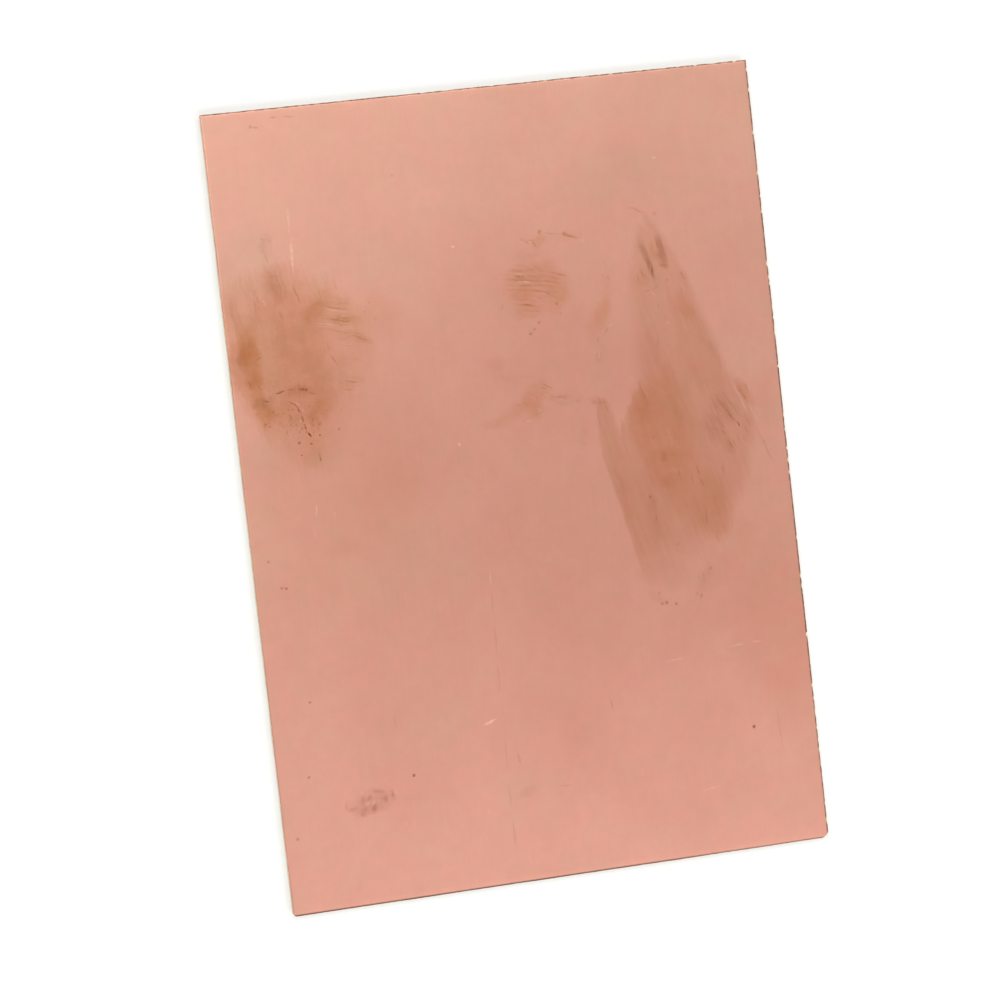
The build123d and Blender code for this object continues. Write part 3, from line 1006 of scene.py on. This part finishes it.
def paint_foil(data):
    """Gives each face of the foil plain copper, or copper with the marks near it."""
    boxes = [reach(mark) for group in spots for mark in group[3]]
    data.materials.append(copper_material("copper_plain", []))
    data.materials.append(copper_material("copper_spots", spots))
    first_zone = len(data.materials)
    for name, zone in zones.items():
        marks = []
        for kind, outline, texture, group in stains:
            close = [mark for mark in group if near(reach(mark), zone, zone_margin)]
            if close:
                marks.append((kind, outline, texture, close))
        data.materials.append(copper_material(name, marks))
    for polygon in data.polygons:
        x, y, _ = polygon.center / mm
        here = (x, y, x, y)
        for index, zone in enumerate(zones.values()):
            if near(here, zone, 0):
                polygon.material_index = first_zone + index
                break
        else:
            if any(near(here, box, spot_margin) for box in boxes):
                polygon.material_index = first_zone - 1


# Laminate: pitch and strands of its glass cloth, and colours
warp_pitch = 0.58
weft_pitch = 0.79
warp_streaks = (90, 4.0, 0.06)
weft_streaks = (0, 4.0, 0.06)
skin_dark = (0.56, 0.46, 0.25, 1)
skin_pale = (0.70, 0.60, 0.38, 1)
ply_dark = (0.60, 0.50, 0.30, 1)
ply_pale = (0.86, 0.79, 0.60, 1)
crazed = (0.90, 0.86, 0.72, 1)

# Its back: shares of strands, weave and clouds in the tone, and pale crazing by the distance from the cut
strand_share = 0.7
weave_share = 0.3
skin_noise = (0.09, 4.0, 0.6)
skin_steps = (0.3, 0.7, 0, 1)
craze_noise = (0.9, 3.0)
craze_reach = 1.4
craze_steps = (0.6, 1.6, 0.8, 0)
back_steps = (0, 0.03, 1, 0)

# Its cut sides: fibres and plies, the pale torn foot and the white break at the chipped corner
fibre_noise = (6.0, 2.0, 0.6)
fibre_lift = 0.4
layer_scale = (0.5, 0.5, 0.7 / ply_pitch)
layer_noise = (1.0, 2.0)
ply_steps = (0.36, 0.64, 0, 1)
foot_steps = (0.6 * break_height, 1.6 * break_height, 0.7, 0)
chip_dab = (half_width, -half_length, 1.6, 1.3, 0, 0.5, 1.0)

# Its finish, with the height of its relief in metres
side_roughness = 0.74
back_roughness = 0.3
strand_roughness = 0.16
relief_strength = 0.35
relief_height = 0.00003


def glass_material():
    """Glass-epoxy: a satin back that shows its cloth, and pale matt plies along the cut."""
    graph = Graph("glass_epoxy")
    here = graph.add("TexCoord", {}).outputs["Object"]
    where = graph.vector("MULTIPLY", here, (1 / mm, 1 / mm, 1 / mm))
    x, y, z = graph.split(where)
    warp = graph.math("SINE", graph.math("MULTIPLY", x, pi / warp_pitch))
    weft = graph.math("SINE", graph.math("MULTIPLY", y, pi / weft_pitch))
    weave = graph.sum(graph.math("MULTIPLY", warp, weft), 0.5, 0.5)
    strands = graph.between(weave, graph.streaks(where, *weft_streaks), graph.streaks(where, *warp_streaks))
    cloth = graph.sum(strands, strand_share, graph.math("MULTIPLY", weave, weave_share))
    tone = graph.between(0.5, graph.noise(where, *skin_noise), cloth)
    skin = graph.mix(graph.ease(tone, *skin_steps), skin_dark, skin_pale)
    inset = graph.math("SUBTRACT", half_width, graph.math("ABSOLUTE", x))
    inset = graph.math("MINIMUM", inset, graph.math("SUBTRACT", half_length, graph.math("ABSOLUTE", y)))
    ragged = graph.sum(graph.noise(where, *craze_noise), craze_reach, inset)
    skin = graph.mix(graph.ease(ragged, *craze_steps), skin, crazed)
    fibres = graph.noise(where, *fibre_noise)
    layers = graph.noise(graph.vector("MULTIPLY", where, layer_scale), *layer_noise)
    plies = graph.between(0.5, fibres, layers)
    side = graph.mix(graph.ease(plies, *ply_steps), ply_dark, ply_pale)
    side = graph.mix(graph.ease(graph.sum(fibres, fibre_lift, z), *foot_steps), side, crazed)
    side = graph.mix(graph.dabs(where, [chip_dab]), side, crazed)
    back = graph.ease(z, *back_steps)
    height = graph.between(back, plies, weave)
    relief = {"Strength": relief_strength, "Distance": relief_height, "Height": height}
    gloss = graph.sum(strands, strand_roughness, back_roughness)
    feeds = {
        "Base Color": graph.mix(back, side, skin),
        "Roughness": graph.between(back, side_roughness, gloss),
        "Normal": graph.add("Bump", relief).outputs[0],
    }
    return graph.finish("BsdfPrincipled", feeds)


# Stage, with lengths in metres: floor, dome, and direction and brightness of each lamp panel
floor_half = 4.0
floor_colour = (0.8, 0.8, 0.8, 1)
floor_glow = 0.15
dome_colour = (1, 1, 1, 1)
dome_strength = 0.7
panel_distance = 1.2
panel_size = (1.4, 0.45)
panels = {
    "panel_far": ((-0.1, 0.34, 0.93), 2.4),
    "panel_near": ((0.1, -0.52, 0.85), 1.9),
}


def make_floor():
    """White floor, which keeps the board's shadow."""
    corners = [(-1, -1, 0), (1, -1, 0), (1, 1, 0), (-1, 1, 0)]
    data = bpy.data.meshes.new("floor")
    data.from_pydata([Vector(corner) * floor_half for corner in corners], [], [(0, 1, 2, 3)])
    floor = bpy.data.objects.new("floor", data)
    bpy.context.collection.objects.link(floor)
    graph = Graph("floor")
    path = graph.add("LightPath", {}).outputs
    seen = graph.math("MAXIMUM", path["Is Camera Ray"], path["Is Glossy Ray"])
    seen = graph.math("MAXIMUM", seen, path["Is Transmission Ray"])
    plain = graph.add("BsdfDiffuse", {"Color": floor_colour}).outputs[0]
    glow = graph.add("Emission", {"Strength": graph.math("MULTIPLY", seen, floor_glow)}).outputs[0]
    data.materials.append(graph.finish("AddShader", {0: plain, 1: glow}))


def make_panel(name, direction, radiance):
    """Soft oblong lamp panel that faces the board from a direction."""
    data = bpy.data.lights.new(name, "AREA")
    data.shape = "RECTANGLE"
    data.size, data.size_y = panel_size
    data.energy = radiance * pi * panel_size[0] * panel_size[1]
    lamp = bpy.data.objects.new(name, data)
    bpy.context.collection.objects.link(lamp)
    towards = Vector(direction).normalized()
    lamp.location = towards * panel_distance
    lamp.rotation_euler = towards.to_track_quat("Z", "Y").to_euler()


def make_lights():
    """White dome and two soft panels, one over each short side of the board."""
    world = bpy.data.worlds.new("studio")
    world.use_nodes = True
    dome = world.node_tree.nodes["Background"].inputs
    dome["Color"].default_value = dome_colour
    dome["Strength"].default_value = dome_strength
    bpy.context.scene.world = world
    for name, (direction, radiance) in panels.items():
        make_panel(name, direction, radiance)


def make_camera():
    """Camera where the photograph was taken from, turned about its view as the photograph is."""
    data = bpy.data.cameras.new("camera")
    data.lens = focal_length
    data.sensor_width = sensor_width
    camera = bpy.data.objects.new("camera", data)
    bpy.context.collection.objects.link(camera)
    backwards = (camera_place - camera_aim).normalized()
    upwards = Vector((sin(camera_turn), cos(camera_turn), 0))
    rightwards = upwards.cross(backwards).normalized()
    upwards = backwards.cross(rightwards)
    turn = Matrix((rightwards, upwards, backwards)).transposed().to_4x4()
    camera.matrix_world = Matrix.Translation(camera_place * mm) @ turn
    bpy.context.scene.camera = camera


def main():
    """Makes both pieces, the stage and the camera."""
    bpy.context.scene.view_settings.view_transform = "Standard"
    foil = make_foil()
    paint_foil(foil.data)
    unfold(foil.data, True)
    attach(foil, "root")
    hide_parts("copper_foil")
    glass = make_glass()
    glass.data.materials.append(glass_material())
    unfold(glass.data, False)
    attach(glass, "root")
    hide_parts("base_laminate")
    make_floor()
    make_lights()
    make_camera()


main()
